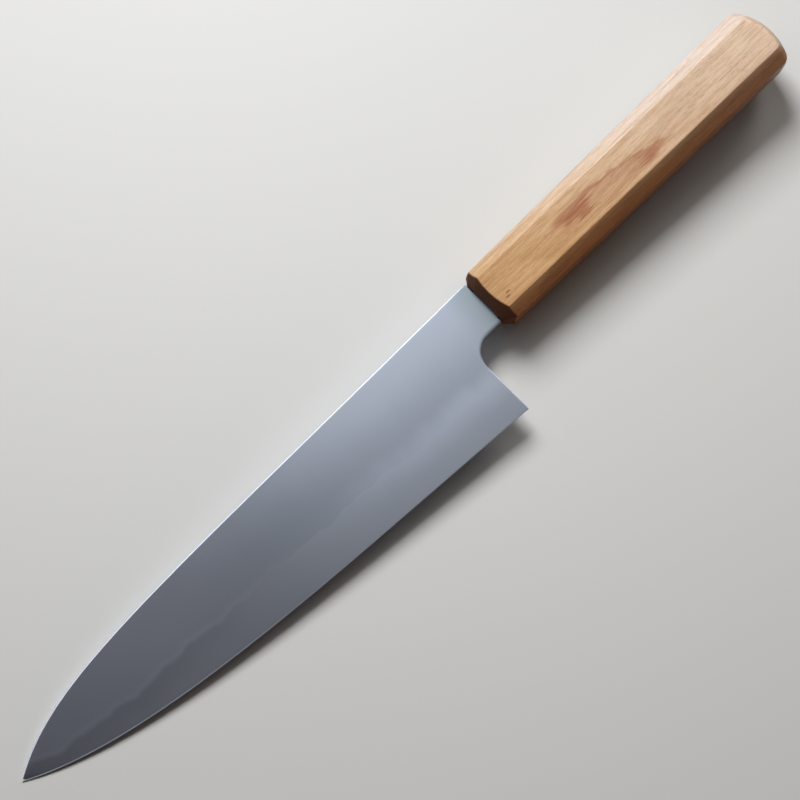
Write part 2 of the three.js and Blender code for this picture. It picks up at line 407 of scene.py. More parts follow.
@dataclass(frozen=True)
class OakFinish:
    """Oiled oak: soft growth rings, fine pores and fibres, a reddish figure, and end grain on both ends.

    Places are in millimetres from the datum. A share, or the top of a fade, says how far a layer covers the
    wood under it. Besides the wood's own colour, some layers paint light: a paler painted sheen towards the
    butt and on the spine-side chamfer, a darker painted shade on the edge side, and painted shade that
    deepens the dark end grain.
    """

    golden: Colour = display(203, 163, 118)
    # the paler wood towards the butt is partly the wood's own tone and partly a painted sheen
    pale: Colour = display(217, 192, 168)
    late: Colour = display(164, 116, 70)
    pale_late_and_sheen: Colour = display(185, 151, 120)
    pale_sheen_fade: Fade = Fade(-12.0, -126.0)
    pale_sheen_slant: float = 2.0
    # painted shade: a darker, redder tint on the edge-side facets, which face away from the light
    edge_side_painted_shade: Colour = (0.66, 0.46, 0.32, 1.0)
    edge_side_shade_fade: Fade = Fade(6.6, 10.0)
    # painted sheen: a paler, bluer tint on the spine-side chamfer, where a low light glances off
    spine_side_painted_sheen: Colour = (0.94, 1.03, 1.2, 1.0)
    spine_side_sheen_fade: Fade = Fade(-7.0, -8.8)
    # darker oiled end grain, made darker still as painted shade on the front bevel
    end_grain_and_shade: Colour = display(74, 30, 12)
    end_share: float = 0.9
    wander_grain: Grain = Grain(48.0, 13.0)
    streak_grain: Grain = Grain(24.0, 1.3, 3.0)
    streak_fade: Fade = Fade(0.4, 0.7, 0.42)
    fibre_grain: Grain = Grain(7.0, 0.55, 3.0)
    fibre_fade: Fade = Fade(0.42, 0.7, 0.5)
    groove_fade: Fade = Fade(0.35, 0.75, 0.2)
    ring: float = 2.7
    ring_start_fade: Fade = Fade(0.3, 0.85, 0.25)
    ring_end_fade: Fade = Fade(1.0, 0.9)
    pith_side: float = -7.0
    pith_side_slope: float = 0.035
    pith_side_wander: float = 7.0
    pith_depth: float = 41.0
    pith_depth_slope: float = 0.05
    pith_depth_wander: float = 5.0
    pore: Colour = display(128, 82, 48)
    pore_share: float = 0.35
    pore_depth: float = 0.8
    long_pore_grain: Grain = Grain(3.6, 0.34)
    long_pore_fade: Fade = Fade(0.36, 0.18)
    short_pore_grain: Grain = Grain(1.9, 0.24)
    short_pore_fade: Fade = Fade(0.32, 0.16, 0.6)
    patch_grain: Grain = Grain(22.0, 2.4, 1.0)
    patch_fade: Fade = Fade(0.36, 0.6)
    figure: Colour = display(156, 98, 68)
    figure_share: float = 0.5
    face_fade: Fade = Fade(6.0, 9.0)
    eye: EyeFigure = EyeFigure()
    eye_wander: float = 1.6
    feather_grain: Grain = Grain(9.0, 0.9)
    feather_length: float = 16.0
    feather_width: float = 2.4
    pin_marks: tuple[Point, ...] = ((-7.1, 3.3), (-6.0, 4.5))
    pin_length: float = 1.25
    pin_width: float = 0.4545
    pin_fade: Fade = Fade(1.0, 0.2)
    roughness: float = 0.42
    pore_roughness: float = 0.15
    fibre_roughness: float = 0.1
    end_roughness: float = 0.25
    gloss: float = 0.22
    relief: float = 0.03 * MM

    def material(self, datum: Datum) -> bpy.types.Material:
        """Makes the finish.

        Args:
            datum: Where the knife lies.

        Returns:
            The material, which reads the attribute end_grain_and_shade, 0 on the sides and 1 on the ends.
        """
        graph = Graph("oiled_oak")
        place = graph.place(datum)
        x, y, _ = graph.axes(place)
        ends = graph.attribute("end_grain_and_shade")
        wander = graph.swing(place, self.wander_grain)
        streak = graph.rise(graph.noise(place, self.streak_grain), self.streak_fade)
        fibre = graph.noise(place, self.fibre_grain)
        pores = self.pores(graph, place)
        figure = self.stain(graph, place, wander) * (self.figure_share + fibre)
        # partly painted sheen: the wood turns paler and whiter towards the butt
        pale_and_sheen = graph.rise(x + y * self.pale_sheen_slant, self.pale_sheen_fade)
        colour = graph.blend(pale_and_sheen, self.golden, self.pale)
        late = graph.blend(pale_and_sheen, self.late, self.pale_late_and_sheen)
        colour = graph.blend(self.growth(graph, place, wander), colour, late)
        colour = graph.blend(streak, colour, late)
        colour = graph.blend(graph.rise(fibre, self.fibre_fade), colour, late)
        colour = graph.blend(figure, colour, self.figure)
        colour = graph.blend(pores * self.pore_share, colour, self.pore)
        # painted shade: the edge-side facets are multiplied darker and redder
        colour = graph.blend(graph.rise(y, self.edge_side_shade_fade), colour, self.edge_side_painted_shade, "MULTIPLY")
        # painted sheen: the spine-side chamfer is multiplied paler and bluer
        colour = graph.blend(graph.rise(y, self.spine_side_sheen_fade), colour, self.spine_side_painted_sheen, "MULTIPLY")
        # end grain, partly real and partly painted shade on the front bevel
        colour = graph.blend(ends * self.end_share, colour, self.end_grain_and_shade)
        groove = graph.rise(fibre, self.groove_fade)
        rough = self.roughness + pores * self.pore_roughness + (fibre - 0.5) * self.fibre_roughness
        return graph.finish({
            "Base Color": colour,
            "Roughness": rough + ends * self.end_roughness,
            "Specular IOR Level": self.gloss,
            "Normal": graph.bump(1.0 - pores * self.pore_depth - groove, self.relief),
        })

    def growth(self, graph: Graph, place: Wire, wander: Wire) -> Wire:
        """Gives the share of dense late wood, from rings round a pith that runs beside the handle.

        Args:
            graph: The wood's graph.
            place: The surface point.
            wander: The slow noise that bends the rings.

        Returns:
            The share, which grows through each ring and ends sharply.
        """
        x, y, z = graph.axes(place)
        across = y - self.pith_side + x * self.pith_side_slope + wander * self.pith_side_wander
        depth = z + self.pith_depth + x * self.pith_depth_slope + wander * self.pith_depth_wander
        phase = ((across * across + depth * depth) ** 0.5 / self.ring).fraction()
        return graph.rise(phase, self.ring_start_fade) * graph.rise(phase, self.ring_end_fade)

    def pores(self, graph: Graph, place: Wire) -> Wire:
        """Gives fine open pores: long ones that gather in patches, and short ones all over.

        Args:
            graph: The wood's graph.
            place: The surface point.

        Returns:
            The pores' depth, 0 to 1.
        """
        long_pores = graph.rise(graph.cells(place, self.long_pore_grain), self.long_pore_fade)
        short_pores = graph.rise(graph.cells(place, self.short_pore_grain), self.short_pore_fade)
        patch = graph.rise(graph.noise(place, self.patch_grain), self.patch_fade)
        return (long_pores * patch).either(short_pores)

    def stain(self, graph: Graph, place: Wire, wander: Wire) -> Wire:
        """Gives the reddish eye, with feathered ends, and the small dark pin marks on the left face.

        Args:
            graph: The wood's graph.
            place: The surface point.
            wander: The slow noise that bends the eye.

        Returns:
            The strength of the stain, 0 to 1.
        """
        x, y, z = graph.axes(place)
        feather = graph.swing(place, self.feather_grain)
        across = y + wander * self.eye_wander + feather * self.feather_width
        found = self.eye.mask(graph, x + feather * self.feather_length, across)
        for along, side in self.pin_marks:
            reach = ((x - along) / self.pin_length) ** 2.0 + ((y - side) / self.pin_width) ** 2.0
            found = found.either(graph.rise(reach, self.pin_fade))
        return found * graph.rise(z, self.face_fade)


@dataclass(frozen=True)
class ResinFinish:
    """Dark epoxy with a faint cloud."""

    shade: Colour = display(46, 34, 26)
    light: Colour = display(74, 56, 42)
    cloud_grain: Grain = Grain(3.0, 1.2, 3.0)
    roughness: float = 0.3
    cloud_roughness: float = 0.15
    relief: float = 0.05 * MM

    def material(self, datum: Datum) -> bpy.types.Material:
        """Makes the finish.

        Args:
            datum: Where the knife lies.

        Returns:
            The material.
        """
        graph = Graph("tang_resin")
        cloud = graph.noise(graph.place(datum), self.cloud_grain)
        return graph.finish({
            "Base Color": graph.blend(cloud, self.shade, self.light),
            "Roughness": self.roughness + cloud * self.cloud_roughness,
            "Normal": graph.bump(cloud, self.relief),
        })


@dataclass(frozen=True)
class BackdropFinish:
    """Pale matt paper, which gives little light back to the object."""

    seen: Colour = (0.64, 0.64, 0.63, 1.0)
    unseen: Colour = (0.1, 0.1, 0.1, 1.0)
    glow: Colour = (0.62, 0.62, 0.62, 1.0)
    wall_fade: Fade = Fade(0.06, 0.5)
    far_fade: Fade = Fade(0.24, 0.5)

    def material(self) -> bpy.types.Material:
        """Makes the finish, whose fades are in metres up the wall and out from the knife.

        Returns:
            The material.
        """
        graph = Graph("studio_paper")
        path = graph.node("ShaderNodeLightPath")
        camera = Wire(graph, path.outputs["Is Camera Ray"])
        mirror = Wire(graph, path.outputs["Is Glossy Ray"])
        glass = Wire(graph, path.outputs["Is Transmission Ray"])
        seen = camera.either(mirror).either(glass)
        colour = graph.blend(seen, self.unseen, self.seen)
        paper = graph.wire("ShaderNodeBsdfDiffuse", inputs={"Color": colour})
        glow = graph.wire("ShaderNodeEmission", inputs={"Color": self.glow, "Strength": 1.0})
        x, y, height = graph.axes(graph.wire("ShaderNodeTexCoord", output="Object"))
        far = graph.rise((x * x + y * y) ** 0.5, self.far_fade)
        share = seen * far.either(graph.rise(height, self.wall_fade))
        return graph.close(graph.wire("ShaderNodeMixShader", inputs={0: share, 1: paper, 2: glow}))


def publish(bm: bmesh.types.BMesh, name: str, look: bpy.types.Material) -> bpy.types.Object:
    """Turns a finished bmesh into an object of the scene.

    Args:
        bm: The bmesh, which is freed.
        name: The object's name.
        look: Its material.

    Returns:
        The object, at the origin.
    """
    mesh = bpy.data.meshes.new(name)
    bm.to_mesh(mesh)
    bm.free()
    mesh.materials.append(look)
    thing = bpy.data.objects.new(name, mesh)
    bpy.context.scene.collection.objects.link(thing)
    return thing


def stand_for(thing: bpy.types.Object, node: str) -> None:
    """Lets a piece ride on the knife and stand for its solid, which is hidden.

    Args:
        thing: The piece.
        node: The solid that it stands for.
    """
    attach(thing, BODY)
    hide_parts(node)
    LOG.info("%s: %d faces", thing.name, len(thing.data.polygons))


def close_seams(bm: bmesh.types.BMesh) -> None:
    """Merges what meets, turns every face outwards and shades it smooth.

    Args:
        bm: The bmesh of one skin.
    """
    bmesh.ops.remove_doubles(bm, verts=bm.verts, dist=MERGE_DISTANCE)
    bmesh.ops.recalc_face_normals(bm, faces=bm.faces)
    for face in bm.faces:
        face.smooth = True


def crease(bm: bmesh.types.BMesh, angle: float) -> None:
    """Makes the sharper edges hard.

    Args:
        bm: The bmesh.
        angle: The angle past which an edge is hard, in degrees.
    """
    for edge in bm.edges:
        if edge.calc_face_angle(0.0) > math.radians(angle):
            edge.smooth = False


class Side(Enum):
    """The two faces of the blade, each with the sign of its height."""

    LEFT = 1
    RIGHT = -1


class Band(Enum):
    """The bands of rows across the blade, from the spine to the edge."""

    EASE = "rounded corner of the spine"
    UPPER = "from the spine to the height of the choil"
    MIDDLE = "from the choil to the lamination line"
    LOWER = "from the lamination line to the sharpened bevel"
    BEVEL = "sharpened bevel"


@dataclass(frozen=True)
class Row:
    """One row of a blade sheet."""

    band: Band
    share: float


@dataclass(frozen=True)
class Section:
    """The blade cut across at one place."""

    x: float
    spine: float
    edge: float
    half: float
    ease: float
    bevel: float
    line_shares: dict[Side, float]

    @property
    def top(self) -> float:
        """Gives where the spine's rounded corner ends."""
        return self.spine + self.ease

    @property
    def shoulder(self) -> float:
        """Gives where the sharpened bevel starts."""
        return self.edge - self.bevel

    def line(self, side: Side) -> float:
        """Gives the height of the lamination line on one face."""
        return mix(self.top, self.shoulder, self.line_shares[side])


@dataclass(frozen=True)
class Column:
    """One column of a blade sheet, on the blade or on the tang, whose section is that of the neck."""

    x: float
    section: Section
    on_tang: bool = False


@dataclass(frozen=True)
class Wave:
    """One wave of the lamination line."""

    length: float
    swing: float
    start: float = 0.0


@dataclass(frozen=True)
class BladeForm:
    """The blade's outline and section, measured from the datum."""

    neck_length: float = 14.6 * MM
    edge_reach: float = 207.8 * MM
    spine_rise: float = 9.8 * MM
    neck_drop: float = 8.1 * MM
    heel_drop: float = 35.92 * MM
    tip_drop: float = 7.0 * MM
    choil_radius: float = 8.0 * MM
    spine_run: float = 152.6 * MM
    spine_dip: float = 1.75 * MM
    spine_tip_run: float = 28.8 * MM
    spine_tip_fall: float = 18.5 * MM
    edge_run: float = 83.4 * MM
    edge_lift: float = 5.6 * MM
    belly_run: float = 40.4 * MM
    belly_lift: float = 21.8 * MM
    tip_blunt: float = 0.4 * MM
    neck_thickness: float = 3.6 * MM
    tip_thickness: float = 0.9 * MM
    taper_power: float = 0.8
    grind_power: float = 1.15
    shoulder_thickness: float = 0.3 * MM
    bevel_depth: float = 0.26 * MM
    edge_thickness: float = 0.06 * MM
    spine_ease: float = 0.25 * MM
    rim_ease: float = 0.3 * MM
    corner_height_limit: float = 0.25
    spine_ease_limit: float = 0.5
    rim_ease_limit: float = 0.8
    bare_heel: float = 0.345
    bare_front: float = 0.36
    tip_bare: float = 4.5 * MM
    run_out: float = 12.5 * MM
    wave_height: float = 24.0 * MM
    side_shift: float = 2.1
    weld_share: float = 0.02
    feather: float = 0.012 * MM
    shoulder_gap: float = 0.3 * MM
    tang_length: float = 92.0 * MM
    tang_height: float = 11.5 * MM
    tang_thickness: float = 2.4 * MM
    tang_end_height: float = 6.5 * MM
    tang_end_thickness: float = 1.6 * MM
    waves: tuple[Wave, ...] = (
        Wave(170.0 * MM, 0.9 * MM, 0.83),
        Wave(41.0 * MM, 0.55 * MM),
        Wave(17.0 * MM, 0.4 * MM),
        Wave(9.7 * MM, 0.3 * MM),
        Wave(5.3 * MM, 0.12 * MM),
        Wave(3.1 * MM, 0.06 * MM),
    )

    @property
    def tip(self) -> float:
        """Gives the distance of the tip from the handle."""
        return self.neck_length + self.edge_reach

    @staticmethod
    def height_on(points: tuple[Point, Point, Point, Point], x: float) -> float:
        """Finds the height of a cubic curve at a place by halving the stretch that holds it.

        Args:
            points: The curve's four control points, in order of x.
            x: The place.

        Returns:
            The curve's y there.
        """
        def along(axis: int, t: float) -> float:
            """Gives one coordinate of the curve."""
            a, b, c, d = (point[axis] for point in points)
            rest = 1 - t
            return a * rest ** 3 + 3 * b * rest * rest * t + 3 * c * rest * t * t + d * t ** 3

        low = 0.0
        high = 1.0
        for _ in range(CURVE_HALVINGS):
            middle = (low + high) / 2
            if along(0, middle) < x:
                low = middle
            else:
                high = middle
        return along(1, low)

    def spine(self, x: float) -> float:
        """Draws the spine.

        Args:
            x: The place along the blade.

        Returns:
            The height of its line there.
        """
        points = (
            (0.0, -self.spine_rise),
            (self.spine_run, self.spine_dip - self.spine_rise),
            (self.tip - self.spine_tip_run, self.tip_drop - self.spine_tip_fall),
            (self.tip, self.tip_drop),
        )
        return self.height_on(points, x)

    def edge(self, x: float) -> float:
        """Draws the cutting edge, carried on level behind the heel.

        Args:
            x: The place along the blade.

        Returns:
            The height of its line there.
        """
        if x <= self.neck_length:
            return self.heel_drop
        points = (
            (self.neck_length, self.heel_drop),
            (self.neck_length + self.edge_run, self.heel_drop - self.edge_lift),
            (self.tip - self.belly_run, self.tip_drop + self.belly_lift),
            (self.tip, self.tip_drop),
        )
        return self.height_on(points, x)

    def choil(self, x: float) -> float:
        """Draws the lower outline of the neck, round the choil to the heel.

        Args:
            x: The place along the blade.

        Returns:
            Its height there.
        """
        start = self.neck_length - self.choil_radius
        if x <= start:
            return self.neck_drop
        rest = self.choil_radius ** 2 - (x - start) ** 2
        return self.neck_drop + self.choil_radius - math.sqrt(max(0.0, rest))

    def rim_distance(self, x: float, y: float) -> float:
        """Measures a point from the outline of neck, choil and heel.

        Args:
            x: The point's place along the blade.
            y: Its height.

        Returns:
            The distance inside the outline.
        """
        run = x - (self.neck_length - self.choil_radius)
        fall = self.neck_drop + self.choil_radius - y
        if run <= 0:
            return self.neck_drop - y
        if fall <= 0:
            return x - self.neck_length
        return math.hypot(run, fall) - self.choil_radius

    def spine_half(self, x: float) -> float:
        """Gives half of the thickness at the spine."""
        return mix(self.neck_thickness, self.tip_thickness, clamp(x / self.tip) ** self.taper_power) / 2

    def section(self, x: float) -> Section:
        """Cuts the blade across.

        Args:
            x: The place along the blade.

        Returns:
            The section there.
        """
        spine = self.spine(x)
        edge = self.edge(x)
        half = self.spine_half(x)
        limit = (edge - spine) * self.corner_height_limit
        return Section(
            x=x,
            spine=spine,
            edge=edge,
            half=half,
            ease=min(self.spine_ease, limit, half * self.spine_ease_limit),
            bevel=min(self.bevel_depth, limit),
            line_shares={side: self.line_share(x, edge - spine, side) for side in Side},
        )

    def ground_half(self, section: Section, share: float) -> float:
        """Gives half of the ground thickness at a share of the height."""
        return mix(section.half, self.shoulder_thickness / 2, share ** self.grind_power)

    def line_share(self, x: float, height: float, side: Side) -> float:
        """Gives where the lamination line lies.

        Args:
            x: The place along the blade.
            height: The blade's height there.
            side: The face, which has waves of its own.

        Returns:
            The line's share of the ground height from the spine, 0 where it has left the face.
        """
        calm = min(1.0, height / self.wave_height)
        phase = 0.0 if side is Side.LEFT else self.side_shift
        wander = 0.0
        for number, wave in enumerate(self.waves):
            turn = math.tau * x / wave.length + wave.start + phase * number
            wander += wave.swing * calm * math.sin(turn)
        bare = mix(self.bare_heel, self.bare_front, clamp((x - self.neck_length) / self.edge_reach))
        climb = clamp((x - self.tip + self.tip_bare + self.run_out) / self.run_out)
        return (1 - bare + wander / height) * (1 - climb * climb)

    def face_half(self, section: Section, y: float) -> float:
        """Gives half of the finished thickness, with its rounded rims.

        Args:
            section: The blade cut across.
            y: The height in it.

        Returns:
            The distance of the face from the middle plane.
        """
        if y > section.shoulder:
            share = clamp((y - section.shoulder) / section.bevel)
            half = mix(self.shoulder_thickness, self.edge_thickness, share) / 2
        else:
            share = clamp((y - section.top) / (section.shoulder - section.top))
            half = self.ground_half(section, share)
        half -= self.rounding(y - section.spine, section.ease)
        rim = min(self.rim_ease, half * self.rim_ease_limit)
        return half - self.rounding(self.rim_distance(section.x, y), rim)

    @staticmethod
    def rounding(distance: float, radius: float) -> float:
        """Rounds a corner off.

        Args:
            distance: The distance from the outline.
            radius: The corner's radius.

        Returns:
            How far the face falls back there.
        """
        if distance >= radius:
            return 0.0
        return radius - math.sqrt(max(0.0, radius ** 2 - (radius - max(0.0, distance)) ** 2))

    def tang_half(self, x: float) -> float:
        """Gives half of the tang's thickness."""
        return mix(self.tang_thickness, self.tang_end_thickness, clamp(-x / self.tang_length)) / 2

    def tang_reach(self, x: float) -> float:
        """Gives half of the tang's height."""
        return mix(self.tang_height, self.tang_end_height, clamp(-x / self.tang_length)) / 2


Placing = Callable[[Column, int, Row], tuple[Vector, float]]


@dataclass
class Blade:
    """The forged blade: a hard core between two soft claddings, with a tang inside the handle."""

    datum: Datum
    form: BladeForm = field(default_factory=BladeForm)
    tang_columns: int = 5
    neck_columns: int = 8
    choil_columns: int = 14
    blade_columns: int = 230
    heel_crowding: float = 1.5
    tip_crowding: float = 1.35
    ease_rows: int = 4
    upper_rows: int = 18
    middle_rows: int = 12
    lower_rows: int = 14
    bevel_rows: int = 2
    crease_angle: float = 28.0
    cladding: SteelFinish = SteelFinish(
        name="hazed_cladding",
        heel_tint=(0.505, 0.562, 0.672, 1.0),
        heel_spine_painted_light=(0.58, 0.643, 0.763, 1.0),
        heel_line_tint=(0.64, 0.705, 0.845, 1.0),
        heel_line_reach=7.0,
        tip_tint=(0.655, 0.695, 0.84, 1.0),
        tip_line_tint=(0.715, 0.755, 0.91, 1.0),
        tip_line_reach=3.0,
    )
    core: SteelFinish = SteelFinish(
        name="polished_core",
        heel_tint=(0.57, 0.625, 0.735, 1.0),
        heel_spine_painted_light=(0.57, 0.625, 0.735, 1.0),
        heel_line_tint=(0.648, 0.715, 0.855, 1.0),
        heel_line_reach=9.0,
        tip_tint=(0.63, 0.665, 0.79, 1.0),
        tip_line_tint=(0.535, 0.575, 0.68, 1.0),
        tip_line_reach=11.0,
    )

    def build(self) -> None:
        """Builds and dresses the three layers."""
        columns = self.columns()
        clad = [column for column in columns if column.x < self.clad_end]
        clad.append(Column(self.clad_end, self.form.section(self.clad_end)))
        look = self.cladding.material(self.datum)
        for side, node in ((Side.LEFT, "left_cladding"), (Side.RIGHT, "right_cladding")):
            skin = self.placing(side, 1.0)
            back = self.placing(side, self.form.weld_share)
            sheet = self.layer(clad, self.line_row, skin, back)
            stand_for(publish(sheet, node + "_steel", look), node)
        look = self.core.material(self.datum)
        faces = [self.placing(side, 0.0) for side in Side]
        sheet = self.layer(columns, self.edge_row, *faces)
        stand_for(publish(sheet, "hard_core_steel", look), "core_steel")

    @property
    def clad_end(self) -> float:
        """Gives the place where the lamination line reaches the spine."""
        return self.form.tip - self.form.tip_bare

    @property
    def choil_row(self) -> int:
        """Gives the number of the row that follows the choil."""
        return self.ease_rows + self.upper_rows

    @property
    def line_row(self) -> int:
        """Gives the number of the row on the lamination line."""
        return self.choil_row + self.middle_rows

    @property
    def edge_row(self) -> int:
        """Gives the number of the row on the cutting edge."""
        return self.line_row + self.lower_rows + self.bevel_rows

    def rows(self) -> list[Row]:
        """Lists the rows.

        Returns:
            The rows from the spine to the edge.
        """
        rows = [Row(Band.EASE, step / self.ease_rows) for step in range(self.ease_rows + 1)]
        counts = {
            Band.UPPER: self.upper_rows,
            Band.MIDDLE: self.middle_rows,
            Band.LOWER: self.lower_rows,
            Band.BEVEL: self.bevel_rows,
        }
        for band, count in counts.items():
            for step in range(1, count + 1):
                share = step / count
                if band is Band.UPPER:
                    share = (1 - math.cos(math.pi * share)) / 2
                rows.append(Row(band, share))
        return rows

    def columns(self) -> list[Column]:
        """Lists the columns, which crowd together at the heel and the tip.

        Returns:
            The columns from the end of the tang to the tip.
        """
        form = self.form
        start = form.neck_length - form.choil_radius
        neck = form.section(0.0)
        columns = []
        for step in range(self.tang_columns + 1):
            x = mix(-form.tang_length, form.shoulder_gap, step / self.tang_columns)
            columns.append(Column(x, neck, True))
        places = []
        for step in range(self.neck_columns):
            places.append(mix(form.shoulder_gap, start, step / self.neck_columns))
        for step in range(self.choil_columns):
            places.append(start + form.choil_radius * math.sin(math.pi / 2 * step / self.choil_columns))
        for step in range(self.blade_columns + 1):
            share = (step / self.blade_columns) ** self.heel_crowding
            share = 1 - (1 - share) ** self.tip_crowding
            places.append(mix(form.neck_length, form.tip - form.tip_blunt, share))
        columns.extend(Column(x, form.section(x)) for x in places)
        return columns

    def choil_share(self, side: Side) -> float:
        """Finds the top of the heel on a cladding.

        Args:
            side: The face of the blade.

        Returns:
            Its share of the cladding's height.
        """
        form = self.form
        heel = form.section(form.neck_length)
        return (form.neck_drop + form.choil_radius - heel.top) / (heel.line(side) - heel.top)

    def levels(self, side: Side) -> Callable[[Column, int, Row], float]:
        """Gives the function that finds the height of a row at a column.

        Args:
            side: The face of the blade.

        Returns:
            The function, whose heights run from the axis towards the edge.
        """
        form = self.form
        choil_share = self.choil_share(side)

        def level(column: Column, number: int, row: Row) -> float:
            """Finds the height of one row at one column."""
            if column.on_tang:
                reach = form.tang_reach(column.x)
                return mix(-reach, reach, min(1.0, number / self.choil_row))
            cut = column.section
            line = cut.line(side)
            choil = form.choil(cut.x) if cut.x < form.neck_length else mix(cut.top, line, choil_share)
            return {
                Band.EASE: mix(cut.spine, cut.top, 1 - math.cos(row.share * math.pi / 2)),
                Band.UPPER: mix(cut.top, choil, row.share),
                Band.MIDDLE: mix(choil, line, row.share),
                Band.LOWER: mix(line, cut.shoulder, row.share),
                Band.BEVEL: mix(cut.shoulder, cut.edge, row.share),
            }[row.band]
        return level

    def outer_half(self, column: Column, y: float) -> float:
        """Gives half of the finished thickness.

        Args:
            column: The column.
            y: The height at the column.

        Returns:
            The distance of the outside from the middle plane.
        """
        if column.on_tang:
            return self.form.tang_half(column.x)
        return self.form.face_half(column.section, y)

    def core_half(self, column: Column, side: Side, y: float) -> float:
        """Gives half of the core's thickness, which stays a feather's depth under the cladding.

        Args:
            column: The column.
            side: The face of the blade.
            y: The height at the column.

        Returns:
            The distance of the core's face from the middle plane.
        """
        form = self.form
        cut = column.section
        outer = self.outer_half(column, y)
        cover = clamp((cut.line(side) - y) / (cut.line(side) - cut.spine))
        inner = form.ground_half(cut, cut.line_shares[side])
        if column.on_tang:
            inner *= form.tang_half(column.x) / cut.half
        return outer if cover == 0 else min(inner, outer - form.feather * cover)

    def placing(self, side: Side, depth: float) -> Placing:
        """Gives the function that places one face of a layer.

        Args:
            side: The face of the blade.
            depth: Where the layer's face lies in the cladding, from 0 on the core to 1 on the outside.

        Returns:
            The function from a column and a row to a vertex and its distance from the lamination line.
        """
        level = self.levels(side)

        def place(column: Column, number: int, row: Row) -> tuple[Vector, float]:
            """Places one vertex and measures it from the lamination line, in millimetres."""
            y = level(column, number, row)
            z = mix(self.core_half(column, side, y), self.outer_half(column, y), depth)
            return self.datum.at(column.x, y, side.value * z), (column.section.line(side) - y) / MM
        return place

    def layer(
        self, columns: list[Column], last_row: int, front: Placing, back: Placing
    ) -> bmesh.types.BMesh:
        """Makes one closed layer from a grid and its thickened copy.

        Args:
            columns: The columns of the grid.
            last_row: The row at which the layer ends.
            front: Places the vertices of the grid.
            back: Places the vertices of the copy.

        Returns:
            The layer with its hard edges and its attributes line_gap and spine_corner.
        """
        rows = self.rows()[: last_row + 1]
        bm = bmesh.new()
        column_of = bm.verts.layers.int.new("column")
        row_of = bm.verts.layers.int.new("row")
        gap_of = bm.verts.layers.float.new("line_gap")
        corner_of = bm.verts.layers.float.new("spine_corner")
        bmesh.ops.create_grid(bm, x_segments=len(columns) - 1, y_segments=last_row, size=1.0)
        for vert in bm.verts:
            vert[column_of] = round((vert.co.x + 1) / 2 * (len(columns) - 1))
            vert[row_of] = round((vert.co.y + 1) / 2 * last_row)
        notch = [
            face for face in bm.faces
            if max(columns[vert[column_of]].x for vert in face.verts) <= self.form.neck_length
            and max(vert[row_of] for vert in face.verts) > self.choil_row
        ]
        bmesh.ops.delete(bm, geom=notch, context="FACES")
        copied = bmesh.ops.extrude_face_region(bm, geom=list(bm.faces), use_keep_orig=True)
        behind = {item for item in copied["geom"] if isinstance(item, bmesh.types.BMVert)}
        for vert in bm.verts:
            place = back if vert in behind else front
            number = vert[row_of]
            vert.co, vert[gap_of] = place(columns[vert[column_of]], number, rows[number])
            vert[corner_of] = 1.0 if number <= self.ease_rows else 0.0
        hard = {self.line_row, self.line_row + self.lower_rows}
        for edge in bm.edges:
            first, second = (vert[row_of] for vert in edge.verts)
            edge.smooth = not (first == second and first in hard)
        close_seams(bm)
        crease(bm, self.crease_angle)
        bm.verts.layers.int.remove(bm.verts.layers.int["column"])
        bm.verts.layers.int.remove(bm.verts.layers.int["row"])
        return bm


def bend(start: Vector, corner: Vector, end: Vector, share: float) -> Vector:
    """Gives a point on the curve that rounds a corner off between two points."""
    return start.lerp(corner, share).lerp(corner.lerp(end, share), share)


@dataclass(frozen=True)
class Ring:
    """One ring of the handle's skin, and how far its wood shows end grain."""

    points: list[Vector]
    # the share of end grain, whose dark tint also holds painted shade
    end_grain_and_shade: float


